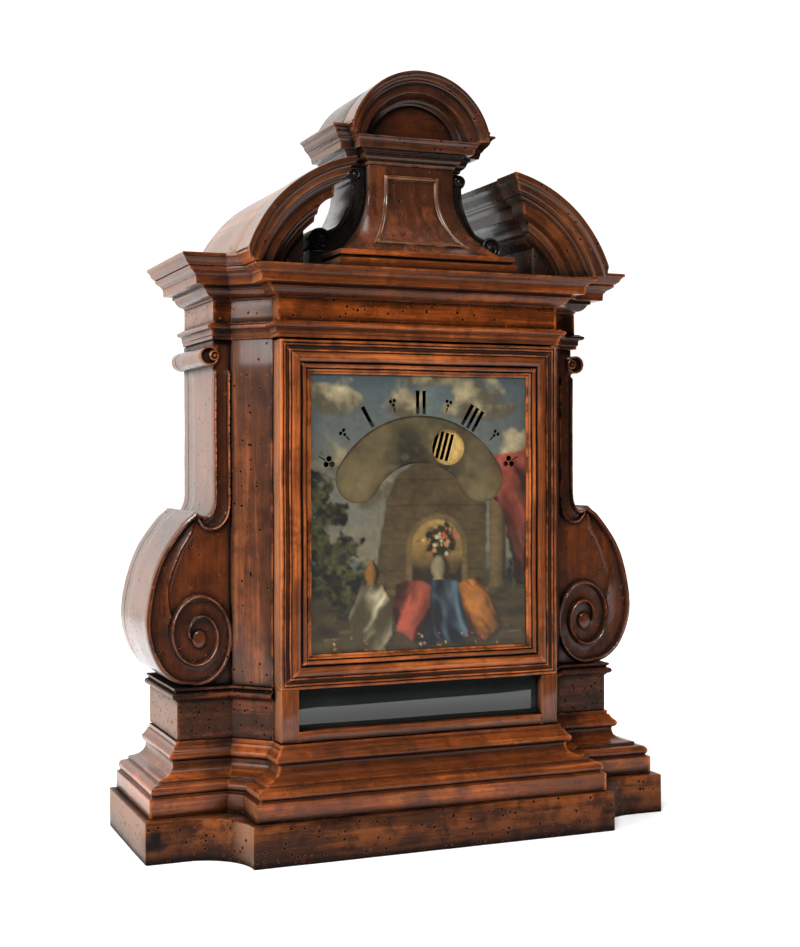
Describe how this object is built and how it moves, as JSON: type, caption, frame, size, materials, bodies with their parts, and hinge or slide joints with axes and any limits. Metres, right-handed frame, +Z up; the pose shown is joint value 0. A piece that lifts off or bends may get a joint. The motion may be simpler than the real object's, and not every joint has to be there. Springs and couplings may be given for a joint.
{
  "type": "night clock",
  "caption": "Altar-shaped walnut night clock: scrolled consoles, broken pediment, hinged door with a painted dial, wandering-hour movement and an oil lamp behind.",
  "frame": {"origin": "centre of the underside, halfway between the rear plane and the front of the plinth", "axes": "+Z up; the clock faces -Y; +X to the right of someone who looks at the dial"},
  "size_m": [0.778, 0.3068, 1.063],
  "materials": {
    "walnut": "waxed red-brown walnut, darker in the hollows, worn bright on the edges",
    "dark_walnut": "old dark walnut, mottled, worm-eaten and scratched",
    "pale_walnut": "plain unpolished boards of the back and inside",
    "brass": "old brass, lightly tarnished",
    "iron": "forged iron, dull",
    "painted_copper": "oil paint on copper under a yellowed varnish",
    "hour_paint": "pale yellow ground with dark numerals",
    "glass": "thin old glass over a dark room"
  },
  "bodies": {
    "case": {"plinth": "dark_walnut", "base_moulding": "walnut", "base_back": "pale_walnut", "floor_board": "pale_walnut", "dado_left": "dark_walnut", "dado_right": "dark_walnut", "console_left": "walnut", "console_right": "walnut", "pilaster_left": "walnut", "pilaster_right": "walnut", "side_board_left": "pale_walnut", "side_board_right": "pale_walnut", "back_stile_left": "pale_walnut", "back_stile_right": "pale_walnut", "head_back": "pale_walnut", "architrave": "walnut", "frieze": "walnut", "cornice": "walnut", "crown_left": "walnut", "crown_right": "walnut", "deck_board": "dark_walnut", "pediment_moulding_left": "walnut", "pediment_moulding_right": "walnut", "pediment_block_left": "walnut", "pediment_block_right": "walnut", "crest_base": "walnut", "crest_body": "walnut", "crest_scroll_left": "dark_walnut", "crest_scroll_right": "dark_walnut", "crest_cornice": "walnut", "crest_arch": "walnut", "crest_vault": "pale_walnut", "lamp_shelf": "pale_walnut", "lamp": "brass"},
    "front_door": {"door_stile_left": "walnut", "door_stile_right": "walnut", "door_rail_top": "walnut", "door_rail_middle": "walnut", "door_rail_bottom": "walnut", "picture_frame_left": "walnut", "picture_frame_right": "walnut", "picture_frame_top": "walnut", "picture_frame_bottom": "walnut", "lower_glass": "glass", "door_pin_top": "iron", "door_pin_bottom": "iron", "dial_plate": "painted_copper", "front_plate": "brass", "back_plate": "brass"},
    "rear_door": {"rear_door": "pale_walnut"},
    "hour_carrier": {"hour_carrier": "painted_copper", "centre_arbor": "brass"},
    "hour_disc_1": {"hour_disc_1": "hour_paint"},
    "hour_disc_2": {"hour_disc_2": "hour_paint"},
    "hour_disc_3": {"hour_disc_3": "hour_paint"},
    "barrel": {"barrel": "brass"},
    "second_wheel": {"second_wheel": "brass"},
    "third_wheel": {"third_wheel": "brass"},
    "escape_wheel": {"escape_wheel": "brass"},
    "pendulum": {"pendulum": "brass"}
  },
  "joints": [
    {"name": "front_door_hinge", "type": "hinge", "parent": "case", "child": "front_door", "pos_m": [0.203, -0.0761, 0.147], "axis": [0, 0, 1], "range_deg": [0, 105]},
    {"name": "rear_door_hinge", "type": "hinge", "parent": "case", "child": "rear_door", "pos_m": [-0.184, 0.143, 0.209], "axis": [0, 0, 1], "range_deg": [0, 90]},
    {"name": "hour_carrier_turn", "type": "hinge", "parent": "front_door", "child": "hour_carrier", "pos_m": [0, 0, 0.447], "axis": [0, 1, 0], "continuous": true},
    {"name": "hour_disc_1_turn", "type": "hinge", "parent": "hour_carrier", "child": "hour_disc_1", "pos_m": [0.02847, 0, 0.51095], "axis": [0, 1, 0], "continuous": true},
    {"name": "hour_disc_2_turn", "type": "hinge", "parent": "hour_carrier", "child": "hour_disc_2", "pos_m": [0.04115, 0, 0.39037], "axis": [0, 1, 0], "continuous": true},
    {"name": "hour_disc_3_turn", "type": "hinge", "parent": "hour_carrier", "child": "hour_disc_3", "pos_m": [-0.06962, 0, 0.43968], "axis": [0, 1, 0], "continuous": true},
    {"name": "barrel_turn", "type": "hinge", "parent": "front_door", "child": "barrel", "pos_m": [-0.036, 0, 0.42], "axis": [0, 1, 0], "continuous": true},
    {"name": "second_wheel_turn", "type": "hinge", "parent": "front_door", "child": "second_wheel", "pos_m": [0.03007, 0, 0.45794], "axis": [0, 1, 0], "continuous": true},
    {"name": "third_wheel_turn", "type": "hinge", "parent": "front_door", "child": "third_wheel", "pos_m": [0.0259, 0, 0.48158], "axis": [0, 1, 0], "continuous": true},
    {"name": "escape_wheel_turn", "type": "hinge", "parent": "front_door", "child": "escape_wheel", "pos_m": [0.00814, 0, 0.48804], "axis": [0, 1, 0], "continuous": true},
    {"name": "pendulum_swing", "type": "hinge", "parent": "front_door", "child": "pendulum", "pos_m": [0.00814, 0, 0.50904], "axis": [0, 1, 0], "range_deg": [-4, 4]}
  ],
  "couplings": [
    {"joint": "barrel_turn", "follows": "hour_carrier_turn", "ratio": -0.125},
    {"joint": "second_wheel_turn", "follows": "hour_carrier_turn", "ratio": -9},
    {"joint": "third_wheel_turn", "follows": "hour_carrier_turn", "ratio": 81},
    {"joint": "escape_wheel_turn", "follows": "hour_carrier_turn", "ratio": -465.75}
  ]
}
